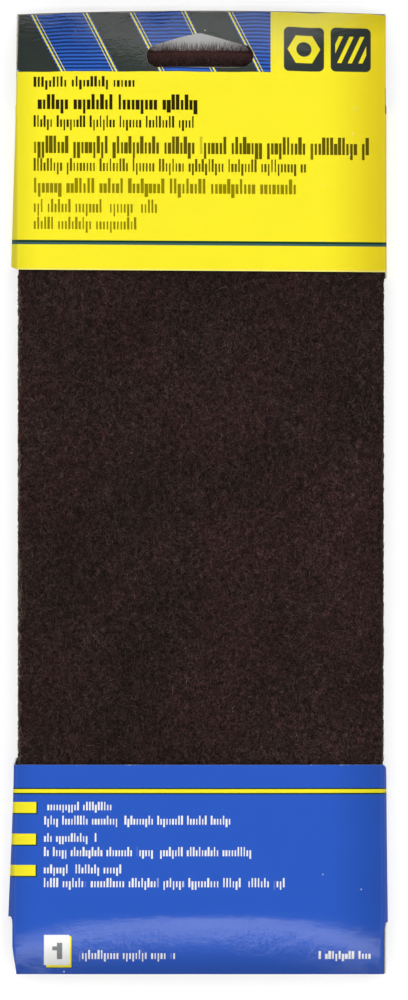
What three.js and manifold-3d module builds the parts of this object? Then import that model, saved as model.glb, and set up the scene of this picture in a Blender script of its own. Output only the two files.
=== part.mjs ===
// An abrasive hand pad of non-woven fibre web, lying in a folded card sleeve.
// Millimetres. The sleeve lies on its back, with +X across, +Y towards its hang slot and +Z up.
// The window in the sleeve's front and sides shows the middle of the pad.
import * as THREE from "three";
import { mergeVertices } from "three/addons/utils/BufferGeometryUtils.js";
import Module from "manifold-3d";

const wasm = await Module();
wasm.setup();

// The pad
const padWidth = 111;
const padLength = 279;
const padThickness = 6;
const padEdgeRound = 0.7;
const crownGap = 0.6;

// The card and how it fits
const cardThickness = 0.4;
const padClearance = 0.35;
const glueLine = 0.1;
const foldReach = 0.8;

// The sleeve's lengths, from its ends
const topOverhang = 12.4;
const bottomOverhang = 1.2;
const headerDepth = 79.2;
const footerDepth = 63.6;
const headerTongue = 30.7;
const footerTongue = 16.6;

// The lap seam on the back
const seamPlace = 30;
const lapWidth = 16;
const lapRamp = 4;

// How the card has settled: the bowed front, the bent tongues and the leaning side walls
const frontCrown = 1.8;
const tongueCrown = 0.3;
const headerBend = 27;
const headerDip = 1.2;
const headerBendPower = 2;
const footerBend = 19;
const footerDip = 1.7;
const footerBendPower = 1.7;
const topArc = 1.1;
const frontShort = 0.5;
const headerShift = -0.15;
const footerShift = -1;
const footerFlare = 0.35;
const leftBulge = { top: 0, header: 1.45, footer: 0, bottom: 1.8 };
const rightBulge = { top: 0, header: 0.1, footer: 0.2, bottom: 0.7 };

// The window's cut
const stripInset = 0.8;
const windowSkew = 2.2;
const windowTilt = 0.8;
const windowFloor = 0.12;
const windowOverlap = 0.1;

// The tongues' side cuts
const tongueTrim = 0.3;
const tongueTaper = 0.9;
const notchRun = 2.2;
const notchSkew = 0.9;
const footerTaperRun = 8.8;

// The hang slot: two round lobes, and straight flanks from them to a peak
const slotWidth = 32.5;
const slotLobe = 3.5;
const slotPeak = 10.7;
const slotPeakRound = 1.2;
const slotInset = 6.5;
const slotShift = -0.4;

// Straight steps that stand for each curved stretch of the card
const rampSteps = 4;
const foldSteps = 3;
const wallSteps = 4;
const frontSteps = 12;

// Places worked out from those sizes
const sleeveLength = padLength + topOverhang + bottomOverhang;
const top = sleeveLength / 2;
const bottom = -sleeveLength / 2;
const headerEdge = top - headerDepth;
const footerEdge = bottom + footerDepth;
const headerWalls = top - headerTongue;
const footerWalls = bottom + footerTongue;
const padTopEnd = top - topOverhang;
const padBottomEnd = bottom + bottomOverhang;
const halfSleeve = padWidth / 2 + padClearance + cardThickness;
const halfStrip = padWidth / 2 - stripInset;
const flapTop = 2 * cardThickness + glueLine;
const padBase = flapTop + padClearance;
const padTop = padBase + padThickness;
const sleeveHeight = padTop + padClearance + cardThickness;
const farOut = halfSleeve + 20;
const foldLevel = sleeveHeight - cardThickness - foldReach;
const farUp = sleeveHeight + frontCrown + 10;
const farDown = -10;

function share(from, to, at) {
  return THREE.MathUtils.clamp((at - from) / (to - from), 0, 1);
}

function mix(from, to, amount) {
  return THREE.MathUtils.lerp(from, to, amount);
}

// How far the front panel has dropped towards the back at y
function dipAt(y) {
  const up = share(top - headerBend, top, y);
  const down = share(bottom + footerBend, bottom, y);
  return headerDip * up ** headerBendPower + footerDip * down ** footerBendPower;
}

// How far the middle of the front panel stands above its folds at y
function crownAt(y) {
  const ends = share(top - headerBend, top, y) + share(bottom + footerBend, bottom, y);
  return mix(frontCrown, tongueCrown, ends);
}

// The front panel's sideways shift against the back panel at y
function shiftAt(y) {
  return mix(footerShift, headerShift, share(bottom, headerEdge, y));
}

// How much wider than the back panel the front is on each side at y
function flareAt(y) {
  return footerFlare * share(footerEdge, footerWalls, y);
}

// How far a side wall bows outwards at y
function bulgeAt(y, bulge) {
  if (y > headerEdge) {
    return mix(bulge.header, bulge.top, share(headerEdge, headerWalls, y));
  }
  if (y > footerEdge) {
    return mix(bulge.footer, bulge.header, share(footerEdge, headerEdge, y));
  }
  return mix(bulge.footer, bulge.bottom, share(footerEdge, footerWalls, y));
}

function bowed(from, to, bulge) {
  const middle = from.clone().add(to).multiplyScalar(0.5);
  const across = to.clone().sub(from).normalize();
  const outward = new THREE.Vector2(-across.y, across.x);
  return new THREE.QuadraticBezierCurve(from, middle.addScaledVector(outward, 2 * bulge), to);
}

function stepBack(corner, towards) {
  return corner.clone().add(towards.clone().sub(corner).setLength(foldReach));
}

// The middle of the card's thickness round the tube at y, from the glued flap round to the seam's edge
function section(y) {
  const half = halfSleeve - cardThickness / 2;
  const low = cardThickness / 2;
  const high = sleeveHeight - cardThickness / 2 - dipAt(y);
  const frontHalf = half + flareAt(y);
  const shift = shiftAt(y);
  const backLeft = new THREE.Vector2(-half, low);
  const frontLeft = new THREE.Vector2(shift - frontHalf, high);
  const frontRight = new THREE.Vector2(shift + frontHalf, high);
  const backRight = new THREE.Vector2(half, low);
  const flapLevel = flapTop - cardThickness / 2;
  const flapEnd = new THREE.Vector2(seamPlace + lapWidth, flapLevel);
  const rampTop = new THREE.Vector2(seamPlace - cardThickness, flapLevel);
  const rampFoot = new THREE.Vector2(rampTop.x - lapRamp, low);
  const rampMiddle = rampTop.x - lapRamp / 2;
  const seamEdge = new THREE.Vector2(seamPlace, low);
  const leftWall = [stepBack(backLeft, frontLeft), stepBack(frontLeft, backLeft)];
  const front = [stepBack(frontLeft, frontRight), stepBack(frontRight, frontLeft)];
  const rightWall = [stepBack(frontRight, backRight), stepBack(backRight, frontRight)];
  const backFolds = [stepBack(backRight, backLeft), stepBack(backLeft, backRight)];
  const stretches = [
    [new THREE.LineCurve(flapEnd, rampTop), 1],
    [new THREE.CubicBezierCurve(rampTop, new THREE.Vector2(rampMiddle, flapLevel),
      new THREE.Vector2(rampMiddle, low), rampFoot), rampSteps],
    [new THREE.LineCurve(rampFoot, backFolds[1]), 2],
    [new THREE.QuadraticBezierCurve(backFolds[1], backLeft, leftWall[0]), foldSteps],
    [bowed(leftWall[0], leftWall[1], bulgeAt(y, leftBulge)), wallSteps],
    [new THREE.QuadraticBezierCurve(leftWall[1], frontLeft, front[0]), foldSteps],
    [bowed(front[0], front[1], crownAt(y)), frontSteps],
    [new THREE.QuadraticBezierCurve(front[1], frontRight, rightWall[0]), foldSteps],
    [bowed(rightWall[0], rightWall[1], bulgeAt(y, rightBulge)), wallSteps],
    [new THREE.QuadraticBezierCurve(rightWall[1], backRight, backFolds[0]), foldSteps],
    [new THREE.LineCurve(backFolds[0], seamEdge), 1],
  ];
  const points = [flapEnd];
  for (const [curve, steps] of stretches) {
    points.push(...curve.getPoints(steps).slice(1));
  }
  return points;
}

function rowPlaces() {
  const stretches = [
    [bottom, footerWalls, 6],
    [footerWalls, footerEdge, 3],
    [footerEdge, headerEdge, 1],
    [headerEdge, headerWalls, 3],
    [headerWalls, top, 6],
  ];
  const rows = [bottom];
  for (const [from, to, steps] of stretches) {
    for (let step = 1; step <= steps; step += 1) {
      rows.push(mix(from, to, step / steps));
    }
  }
  return rows;
}

// The top edge is a shallow arc, and the front panel ends a little below the back panel
function edgeDrop(y, x, z) {
  const near = share(headerWalls, top, y);
  const bow = topArc * (x / halfSleeve) ** 2;
  const shorter = frontShort * share(flapTop, sleeveHeight / 2, z);
  return near * (bow + shorter);
}

function asSolid(geometry) {
  geometry.deleteAttribute("normal");
  geometry.deleteAttribute("uv");
  const merged = mergeVertices(geometry);
  return new wasm.Manifold(new wasm.Mesh({
    numProp: 3,
    vertProperties: new Float32Array(merged.attributes.position.array),
    triVerts: new Uint32Array(merged.index.array),
  }));
}

function asGeometry(solid) {
  const mesh = solid.getMesh();
  const geometry = new THREE.BufferGeometry();
  geometry.setAttribute("position", new THREE.BufferAttribute(mesh.vertProperties, mesh.numProp));
  geometry.setIndex(new THREE.BufferAttribute(mesh.triVerts, 1));
  geometry.computeVertexNormals();
  return geometry;
}

// The uncut tube: a flat sheet of card bent along its section at each row
function foldedTube() {
  const rows = rowPlaces();
  const sections = rows.map(section);
  const around = sections[0].length - 1;
  const geometry = new THREE.BoxGeometry(1, 1, 1, around, rows.length - 1, 1);
  const position = geometry.attributes.position;
  for (let i = 0; i < position.count; i += 1) {
    const place = Math.round((position.getX(i) + 0.5) * around);
    const row = Math.round((position.getY(i) + 0.5) * (rows.length - 1));
    const points = sections[row];
    const here = points[place];
    const before = points[Math.max(place - 1, 0)];
    const after = points[Math.min(place + 1, around)];
    const along = after.clone().sub(before).normalize();
    const out = position.getZ(i) * cardThickness;
    const x = here.x - out * along.y;
    const z = here.y + out * along.x;
    position.setXYZ(i, x, rows[row] - edgeDrop(rows[row], here.x, here.y), z);
  }
  return asSolid(geometry);
}

// A prism over an outline in X and Y, between two heights
function upright(points, low, high) {
  const shape = new THREE.Shape(points.map(([x, y]) => new THREE.Vector2(x, y)));
  const geometry = new THREE.ExtrudeGeometry(shape, { depth: high - low, bevelEnabled: false });
  geometry.translate(0, 0, low);
  return asSolid(geometry);
}

// A prism over an outline in Y and Z, between two places across
function sideways(points, from, to) {
  const shape = new THREE.Shape(points.map(([y, z]) => new THREE.Vector2(y, z)));
  const geometry = new THREE.ExtrudeGeometry(shape, { depth: to - from, bevelEnabled: false });
  geometry.applyMatrix4(new THREE.Matrix4().makeBasis(
    new THREE.Vector3(0, 1, 0), new THREE.Vector3(0, 0, 1), new THREE.Vector3(1, 0, 0)));
  geometry.translate(from, 0, 0);
  return asSolid(geometry);
}

// The window's front edges as seen from above, out to a place across and down to a level
function windowFront(reach, level) {
  const tilt = windowTilt / 2 * (reach / farOut);
  const outline = [
    [-reach, footerEdge],
    [reach, footerEdge],
    [reach, headerEdge - tilt],
    [-reach, headerEdge + tilt],
  ];
  return upright(outline, level, farUp);
}

// One side wall's cut, which slants because the front panel has slipped along the back panel
function windowSide(side) {
  const slip = -side * windowSkew;
  const tilt = -side * windowTilt / 2;
  const rise = farUp / sleeveHeight;
  const fall = farDown / sleeveHeight;
  const outline = [
    [footerEdge + slip * (1 - fall), farDown],
    [headerEdge + tilt + slip * (1 - fall), farDown],
    [headerEdge + tilt + slip * (1 - rise), farUp],
    [footerEdge + slip * (1 - rise), farUp],
  ];
  return side < 0 ? sideways(outline, -farOut, -halfStrip) : sideways(outline, halfStrip, farOut);
}

// The strip cut off each side of the two header tongues
function headerTrim(side) {
  const edge = side * (halfSleeve - tongueTrim) + headerShift;
  const taper = side < 0 ? tongueTaper : 0;
  const outline = [
    [side * farOut, headerWalls + notchRun],
    [edge + side * notchRun / 2, headerWalls],
    [edge, headerWalls + notchRun],
    [edge - side * taper, top],
    [edge - side * taper, top + farUp],
    [side * farOut, top + farUp],
  ];
  return upright(outline, farDown, farUp);
}

// The strip cut off each side of the two footer tongues
function footerTrim(side) {
  const edge = side * (halfSleeve + footerFlare - tongueTrim) + footerShift;
  const taper = side < 0 ? tongueTaper + footerFlare : 0;
  const notch = footerWalls - side * notchSkew;
  const outline = [
    [side * farOut, notch],
    [edge + side * notchRun / 2, notch],
    [edge, notch - notchRun],
    [edge, bottom + footerTaperRun],
    [edge - side * taper, bottom],
    [edge - side * taper, bottom - farUp],
    [side * farOut, bottom - farUp],
  ];
  return upright(outline, farDown, farUp);
}

function hangSlot() {
  const lobe = slotWidth / 2 - slotLobe;
  const rise = slotPeak - slotLobe;
  const slope = Math.atan2(rise, lobe) - Math.asin(slotLobe / Math.hypot(rise, lobe));
  const leave = Math.PI / 2 - slope;
  const roundFoot = slotPeak - slotPeakRound * Math.tan(slope);
  const shape = new THREE.Shape();
  shape.moveTo(-lobe, 0);
  shape.lineTo(lobe, 0);
  shape.absarc(lobe, slotLobe, slotLobe, -Math.PI / 2, leave, false);
  shape.lineTo(slotPeakRound, roundFoot);
  shape.quadraticCurveTo(0, slotPeak, -slotPeakRound, roundFoot);
  shape.absarc(-lobe, slotLobe, slotLobe, Math.PI - leave, 1.5 * Math.PI, false);
  const settings = { depth: farUp - farDown, bevelEnabled: false, curveSegments: 8 };
  const geometry = new THREE.ExtrudeGeometry(shape, settings);
  geometry.translate(slotShift, top - slotInset - slotPeak, farDown);
  return asSolid(geometry);
}

function makeSleeve() {
  let card = foldedTube();
  card = card.subtract(windowFront(halfStrip + windowOverlap, flapTop + windowFloor));
  card = card.subtract(windowFront(farOut, foldLevel));
  card = card.subtract(hangSlot());
  for (const side of [-1, 1]) {
    card = card.subtract(windowSide(side));
    card = card.subtract(headerTrim(side));
    card = card.subtract(footerTrim(side));
  }
  const board = new THREE.MeshStandardMaterial({ color: 0xfbe92b, roughness: 0.35, metalness: 0 });
  const mesh = new THREE.Mesh(asGeometry(card), board);
  mesh.name = "card_sleeve";
  return mesh;
}

// How far the web's loft lifts the pad's top under the bowed front
function padRise(y, across) {
  return Math.max(crownAt(y) - crownGap, 0) * (1 - (2 * across) ** 2);
}

// The pad gives way to the card's right wall, and is pressed thinner where the tongues bend down
function makePad() {
  const across = 8;
  const along = 22;
  const levels = 3;
  const geometry = new THREE.BoxGeometry(1, 1, 1, across, along, levels);
  const position = geometry.attributes.position;
  for (let i = 0; i < position.count; i += 1) {
    const level = Math.round((position.getZ(i) + 0.5) * levels);
    const inset = level === 0 || level === levels ? padEdgeRound : 0;
    const y = mix(padBottomEnd + inset, padTopEnd - inset, position.getY(i) + 0.5);
    const thickness = padThickness - dipAt(y) + padRise(y, position.getX(i));
    const height = [0, padEdgeRound, thickness - padEdgeRound, thickness][level];
    const squeeze = shiftAt(y) * (height / padThickness) * (position.getX(i) + 0.5);
    const x = position.getX(i) * (padWidth - 2 * inset) + squeeze;
    position.setXYZ(i, x, y, padBase + height);
  }
  const web = new THREE.MeshStandardMaterial({ color: 0x3a2b28, roughness: 0.95, metalness: 0 });
  const mesh = new THREE.Mesh(asGeometry(asSolid(geometry)), web);
  mesh.name = "hand_pad";
  return mesh;
}

const model = new THREE.Group();
model.add(makePad(), makeSleeve());

// The whole stands on the middle of its bounding box
const bounds = new THREE.Box3().setFromObject(model, true);
const middle = bounds.getCenter(new THREE.Vector3());
model.position.set(-middle.x, -middle.y, -bounds.min.z);

export default model;
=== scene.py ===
# %% [markdown]
# # An abrasive hand pad in its printed card sleeve
# The pad is a slab of non-woven web: crimped plastic fibres, bonded where they cross and loaded
# with abrasive grain. Its sleeve is one printed card blank, die cut, folded into a flat tube and
# glued along its back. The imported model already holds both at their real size, as a plain slab
# and a plain bent sheet. This script keeps their places and gives each of them its real surface:
#
# 1. the card: a flat blank, die cut and then folded, so its print can be laid out flat
# 2. the web: a soft slab with a pitted face
# 3. the fibres: thousands of fine curved strands on every face of the web that can be seen
# 4. the finishes, written as arithmetic on shader sockets
# 5. a table, a soft studio sky and the camera

# %% The frame
import math

import bmesh
import bpy
import numpy as np
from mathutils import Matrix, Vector


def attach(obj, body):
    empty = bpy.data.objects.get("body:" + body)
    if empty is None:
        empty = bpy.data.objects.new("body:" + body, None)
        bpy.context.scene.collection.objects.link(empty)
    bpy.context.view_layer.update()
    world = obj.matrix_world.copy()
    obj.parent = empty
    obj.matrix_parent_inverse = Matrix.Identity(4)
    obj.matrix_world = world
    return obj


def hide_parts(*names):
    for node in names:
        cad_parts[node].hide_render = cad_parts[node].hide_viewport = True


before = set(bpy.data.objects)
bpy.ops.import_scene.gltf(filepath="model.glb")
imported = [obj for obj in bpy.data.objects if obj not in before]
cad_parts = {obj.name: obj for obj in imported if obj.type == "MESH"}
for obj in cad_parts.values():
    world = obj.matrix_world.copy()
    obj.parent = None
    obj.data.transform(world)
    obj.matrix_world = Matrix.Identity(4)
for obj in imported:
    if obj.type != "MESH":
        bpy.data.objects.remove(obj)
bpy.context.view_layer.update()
MM = 0.001

# %% [markdown]
# ## The sizes
# Lengths are in millimetres until a mesh is finished. The card's sizes are those that the packed
# model was built with, because the fold has to land in the same place. `CENTRE` is how far the
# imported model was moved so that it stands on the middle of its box.

# %% The pad's and the card's sizes
PAD_WIDTH, PAD_LENGTH, PAD_THICKNESS = 111, 279, 6
PAD_EDGE_ROUND = 0.7
CARD = 0.4
CLEARANCE = 0.35
GLUE_LINE = 0.1
FOLD_REACH = 0.8
TOP_OVERHANG, BOTTOM_OVERHANG = 12.4, 1.2
HEADER_DEPTH, FOOTER_DEPTH = 79.2, 63.6
HEADER_TONGUE, FOOTER_TONGUE = 30.7, 16.6
SEAM_PLACE, LAP_WIDTH, LAP_RAMP = 30, 16, 4
CENTRE = Vector((0.985, 0.038, 0))

TOP = (PAD_LENGTH + TOP_OVERHANG + BOTTOM_OVERHANG) / 2
BOTTOM = -TOP
HEADER_EDGE = TOP - HEADER_DEPTH
FOOTER_EDGE = BOTTOM + FOOTER_DEPTH
HEADER_WALLS = TOP - HEADER_TONGUE
FOOTER_WALLS = BOTTOM + FOOTER_TONGUE
HALF_SLEEVE = PAD_WIDTH / 2 + CLEARANCE + CARD
FLAP_TOP = 2 * CARD + GLUE_LINE
PAD_BASE = FLAP_TOP + CLEARANCE
PAD_TOP = PAD_BASE + PAD_THICKNESS
SLEEVE_HEIGHT = PAD_TOP + CLEARANCE + CARD
PAD_TOP_END = TOP - TOP_OVERHANG
PAD_BOTTOM_END = BOTTOM + BOTTOM_OVERHANG
print(f"the sleeve is {TOP - BOTTOM:.1f} mm long and {SLEEVE_HEIGHT:.1f} mm high before it settles")

# %% How the folded card has settled
FRONT_CROWN, TONGUE_CROWN = 1.8, 0.3
CROWN_GAP = 0.6
HEADER_BEND, HEADER_DIP, HEADER_BEND_POWER = 27, 1.2, 2
FOOTER_BEND, FOOTER_DIP, FOOTER_BEND_POWER = 19, 1.7, 1.7
TOP_ARC = 1.1
FRONT_SHORT = 0.5
HEADER_SHIFT, FOOTER_SHIFT, FOOTER_FLARE = -0.15, -1, 0.35
LEFT_BULGE = {"top": 0, "header": 1.45, "footer": 0, "bottom": 1.8}
RIGHT_BULGE = {"top": 0, "header": 0.1, "footer": 0.2, "bottom": 0.7}


def share(start, end, at):
    return min(max((at - start) / (end - start), 0), 1)


def mix(start, end, amount):
    return start + (end - start) * amount


def dip_at(y):
    """How far the front panel has dropped towards the back at y."""
    up = share(TOP - HEADER_BEND, TOP, y) ** HEADER_BEND_POWER
    down = share(BOTTOM + FOOTER_BEND, BOTTOM, y) ** FOOTER_BEND_POWER
    return HEADER_DIP * up + FOOTER_DIP * down


def crown_at(y):
    """How far the middle of the front panel stands above its folds at y."""
    ends = share(TOP - HEADER_BEND, TOP, y) + share(BOTTOM + FOOTER_BEND, BOTTOM, y)
    return mix(FRONT_CROWN, TONGUE_CROWN, ends)


def shift_at(y):
    """How far the front panel has slid sideways over the back panel at y."""
    return mix(FOOTER_SHIFT, HEADER_SHIFT, share(BOTTOM, HEADER_EDGE, y))


def bulge_at(y, bulge):
    """How far a side wall bows outwards at y."""
    if y > HEADER_EDGE:
        return mix(bulge["header"], bulge["top"], share(HEADER_EDGE, HEADER_WALLS, y))
    if y > FOOTER_EDGE:
        return mix(bulge["footer"], bulge["header"], share(FOOTER_EDGE, HEADER_EDGE, y))
    return mix(bulge["footer"], bulge["bottom"], share(FOOTER_EDGE, FOOTER_WALLS, y))


print("front dips", [round(dip_at(y), 2) for y in (TOP, TOP - 10, BOTTOM + 10, BOTTOM)])

# %% [markdown]
# ## The card, step 1: a map from the flat blank to the folded tube
# A real sleeve is printed and cut flat, then folded. If the mesh is made the same way, the flat
# state gives the print its coordinates for free: `u` runs across the blank from the middle of the
# front panel and `v` runs along it. The folded state needs one function that takes a flat point to
# its folded place. At each `v` the tube's section is a chain of stretches, straight or curved, and
# a point's `u` says which stretch it is on and how far along. The other way is to fold with
# armatures or simple-deform modifiers, but a chain gives exact panels and tight, round folds.


# %% The section of the folded tube, as a chain of curves
def bezier(points, t):
    """The point at t on a Bezier curve of any degree, and the direction there."""
    while len(points) > 2:
        points = [a.lerp(b, t) for a, b in zip(points, points[1:])]
    return points[0].lerp(points[1], t), (points[1] - points[0]).normalized()


def bowed(start, end, bulge):
    across = (end - start).normalized()
    outward = Vector((-across.y, across.x))
    return [start, (start + end) / 2 + outward * 2 * bulge, end]


def step_back(corner, towards):
    return corner + (towards - corner).normalized() * FOLD_REACH


def section(y):
    """The control points of each stretch at y, in the X-Z plane, from the glued flap round to the seam."""
    half, low = HALF_SLEEVE - CARD / 2, CARD / 2
    high = SLEEVE_HEIGHT - CARD / 2 - dip_at(y)
    front_half = half + FOOTER_FLARE * share(FOOTER_EDGE, FOOTER_WALLS, y)
    shift = shift_at(y)
    back_left, back_right = Vector((-half, low)), Vector((half, low))
    front_left, front_right = Vector((shift - front_half, high)), Vector((shift + front_half, high))
    flap = FLAP_TOP - CARD / 2
    ramp_top = Vector((SEAM_PLACE - CARD, flap))
    ramp_foot = Vector((ramp_top.x - LAP_RAMP, low))
    ramp_middle = ramp_top.x - LAP_RAMP / 2
    ramp = [ramp_top, Vector((ramp_middle, flap)), Vector((ramp_middle, low)), ramp_foot]
    left = [step_back(back_left, front_left), step_back(front_left, back_left)]
    front = [step_back(front_left, front_right), step_back(front_right, front_left)]
    right = [step_back(front_right, back_right), step_back(back_right, front_right)]
    back = [step_back(back_right, back_left), step_back(back_left, back_right)]
    return {
        "flap": [Vector((SEAM_PLACE + LAP_WIDTH, flap)), ramp_top],
        "ramp": ramp,
        "back_left": [ramp_foot, back[1]],
        "fold_back_left": [back[1], back_left, left[0]],
        "wall_left": bowed(left[0], left[1], bulge_at(y, LEFT_BULGE)),
        "fold_front_left": [left[1], front_left, front[0]],
        "front": bowed(front[0], front[1], crown_at(y)),
        "fold_front_right": [front[1], front_right, right[0]],
        "wall_right": bowed(right[0], right[1], bulge_at(y, RIGHT_BULGE)),
        "fold_back_right": [right[1], back_right, back[0]],
        "back_right": [back[0], Vector((SEAM_PLACE, low))],
    }


def curve_length(points, steps=16):
    places = [bezier(points, i / steps)[0] for i in range(steps + 1)]
    return sum((b - a).length for a, b in zip(places, places[1:]))


def blank_stretches(y):
    """Where each stretch starts and ends across the flat blank, with u = 0 in the middle of the front."""
    lengths = {name: curve_length(points) for name, points in section(y).items()}
    names = list(lengths)
    before = sum(lengths[name] for name in names[: names.index("front")])
    at = -before - lengths["front"] / 2
    stretches = {}
    for name in names:
        stretches[name] = (at, at + lengths[name])
        at += lengths[name]
    return stretches


STRETCHES = blank_stretches(HEADER_EDGE)
BLANK_LEFT = STRETCHES["flap"][0]
BLANK_RIGHT = STRETCHES["back_right"][1]
for name, (start, end) in STRETCHES.items():
    print(f"{name:17}{start:8.2f}{end:8.2f}")

# %% [markdown]
# ## The card, step 2: the die-cut blank
# A die cuts the blank from a printed sheet: its outline, the window, the hang slot and the notches
# where the side walls stop. The sheet starts as one square, which `bisect_plane` divides wherever
# it will have to bend, with narrow steps on the folds and wide ones on the flat panels. `solidify`
# would work, but an extrusion keeps the printed and the plain face apart from the start. The holes
# are cut with a Boolean modifier, because their outlines cross the steps at a slant.

# %% How finely the blank is divided
FOLD_STEP, FRONT_STEP, WALL_STEP, BACK_STEP = 0.3, 2.2, 1.6, 7
TONGUE_STEP, HEADER_STEP, WINDOW_STEP = 1.5, 4, 12
TONGUE_DETAIL = 30
STEP_OF = {"front": FRONT_STEP, "wall_left": WALL_STEP, "wall_right": WALL_STEP}
STEP_OF.update({name: FOLD_STEP for name in STRETCHES if name.startswith("fold")})
STEP_OF["ramp"] = 1


def divided(start, end, step):
    count = max(1, round(abs(end - start) / step))
    return [mix(start, end, i / count) for i in range(count)]


def cut_places():
    across = []
    for name, (start, end) in STRETCHES.items():
        across += divided(start, end, STEP_OF.get(name, BACK_STEP))
    along = divided(BOTTOM, BOTTOM + TONGUE_DETAIL, TONGUE_STEP)
    along += divided(BOTTOM + TONGUE_DETAIL, FOOTER_EDGE - 1, HEADER_STEP)
    along += divided(FOOTER_EDGE - 1, HEADER_EDGE + 1, WINDOW_STEP)
    along += divided(HEADER_EDGE + 1, TOP - TONGUE_DETAIL, HEADER_STEP)
    along += divided(TOP - TONGUE_DETAIL, TOP, TONGUE_STEP)
    return across[1:], along[1:]


print("the blank is divided at", [len(places) for places in cut_places()], "places across and along")


# %% The printed sheet, cut to size and divided
FINISH_NAMES = ("header_print", "plain_board", "cut_board", "footer_print", "back_print")
PRINTED, BOARD, CORE, FOOTER, BACK = range(len(FINISH_NAMES))
STEEP = 0.5


def everything(bm):
    return bm.verts[:] + bm.edges[:] + bm.faces[:]


def only(kind, made):
    """The vertices, edges or faces among what an operator gives back."""
    return [item for item in made if isinstance(item, kind)]


def sheet_of_card():
    bm = bmesh.new()
    bmesh.ops.create_grid(bm, x_segments=1, y_segments=1, size=0.5)
    width = BLANK_RIGHT - BLANK_LEFT
    bmesh.ops.scale(bm, verts=bm.verts, vec=(width, TOP - BOTTOM, 1))
    bmesh.ops.translate(bm, verts=bm.verts, vec=(BLANK_LEFT + width / 2, 0, 0))
    across, along = cut_places()
    for places, normal in ((across, Vector((1, 0, 0))), (along, Vector((0, 1, 0)))):
        for place in places:
            bmesh.ops.bisect_plane(bm, geom=everything(bm), plane_co=normal * place, plane_no=normal)
    for face in bm.faces:
        face.material_index = BOARD
    top = bmesh.ops.extrude_face_region(bm, geom=bm.faces[:], use_keep_orig=True)["geom"]
    for face in only(bmesh.types.BMFace, top):
        face.material_index = PRINTED
    bmesh.ops.translate(bm, verts=only(bmesh.types.BMVert, top), vec=(0, 0, CARD))
    bmesh.ops.recalc_face_normals(bm, faces=bm.faces)
    for face in bm.faces:
        if abs(face.normal.z) < STEEP:
            face.material_index = CORE
    return bm


def as_object(bm, name, materials=()):
    mesh = bpy.data.meshes.new(name)
    bm.to_mesh(mesh)
    bm.free()
    piece = bpy.data.objects.new(name, mesh)
    bpy.context.collection.objects.link(piece)
    for material in materials:
        mesh.materials.append(material)
    return piece


sleeve_finishes = [bpy.data.materials.new(name) for name in FINISH_NAMES]
sleeve = as_object(sheet_of_card(), "printed_sleeve", sleeve_finishes)
print("the sheet has", len(sleeve.data.polygons), "faces")

# %% [markdown]
# The cutters are drawn on the flat blank as outlines, filled, and extruded through the card. The
# window runs from one back panel edge over both side walls to the other. Its ends are straight on
# the front panel and slant on the walls, because the front panel has slipped along the back one.
# The slot is two round lobes with straight flanks up to a peak. The notches take the walls away beside
# the two tongues, so that the tongues can bend down.

# %% The sizes of the die's cuts
STRIP_INSET = 0.8
WINDOW_SKEW, WINDOW_TILT = 2.2, 0.8
TONGUE_TAPER = 0.9
NOTCH_RUN, NOTCH_SKEW = 2.2, 0.9
FOOTER_TAPER_RUN = 8.8
SLOT_WIDTH, SLOT_LOBE, SLOT_PEAK, SLOT_PEAK_ROUND = 32.5, 3.5, 10.7, 1.2
SLOT_INSET, SLOT_SHIFT = 6.5, -0.4
LOBE_STEPS, PEAK_STEPS = 14, 6
FAR = 15
FRONT_HALF = STRETCHES["front"][1]
WALL_END = STRETCHES["wall_right"][1]
BACK_FOLD_END = STRETCHES["fold_back_right"][1]
BACK_HALF = HALF_SLEEVE - CARD / 2 - FOLD_REACH
FOLD_SHARE_CUT = 0.6
TONGUE_CUT = FOLD_SHARE_CUT * (STRETCHES["fold_front_right"][1] - FRONT_HALF)


def window_outline():
    """The window's hole in the blank: across the front, then down both walls to the back panel's strip."""
    strip = BACK_FOLD_END + BACK_HALF - PAD_WIDTH / 2 + STRIP_INSET
    slant_start = FRONT_HALF + FOLD_REACH / 2
    tilt = WINDOW_TILT / 2
    outline = []
    for edge, lean in ((FOOTER_EDGE, 0), (HEADER_EDGE, tilt)):
        points = [
            (-strip, edge + lean + WINDOW_SKEW),
            (-slant_start, edge + lean),
            (slant_start, edge - lean),
            (strip, edge - lean - WINDOW_SKEW),
        ]
        outline += points if edge == FOOTER_EDGE else reversed(points)
    return outline


def slot_outline(mirror_u, middle):
    """The hang slot: two round lobes, and straight flanks that leave them and meet in a soft peak."""
    lobe, rise = SLOT_WIDTH / 2 - SLOT_LOBE, SLOT_PEAK - SLOT_LOBE
    foot = TOP - SLOT_INSET - SLOT_PEAK
    slope = math.atan2(rise, lobe) - math.asin(SLOT_LOBE / math.hypot(rise, lobe))
    corner = Vector((0, foot + SLOT_PEAK))
    drop = SLOT_PEAK_ROUND * math.tan(slope)
    soft = [corner + Vector((SLOT_PEAK_ROUND, -drop)), corner, corner + Vector((-SLOT_PEAK_ROUND, -drop))]
    right = []
    for i in range(LOBE_STEPS + 1):
        turn = mix(-math.pi / 2, math.pi / 2 - slope, i / LOBE_STEPS)
        right.append(Vector((lobe + SLOT_LOBE * math.cos(turn), foot + SLOT_LOBE * (1 + math.sin(turn)))))
    right += [bezier(soft, i / PEAK_STEPS)[0] for i in range(PEAK_STEPS // 2)]
    peak = bezier(soft, 0.5)[0]
    left = [Vector((-p.x, p.y)) for p in reversed(right)]
    return [(middle + mirror_u * (p.x + SLOT_SHIFT), p.y) for p in right + [peak] + left]


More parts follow.
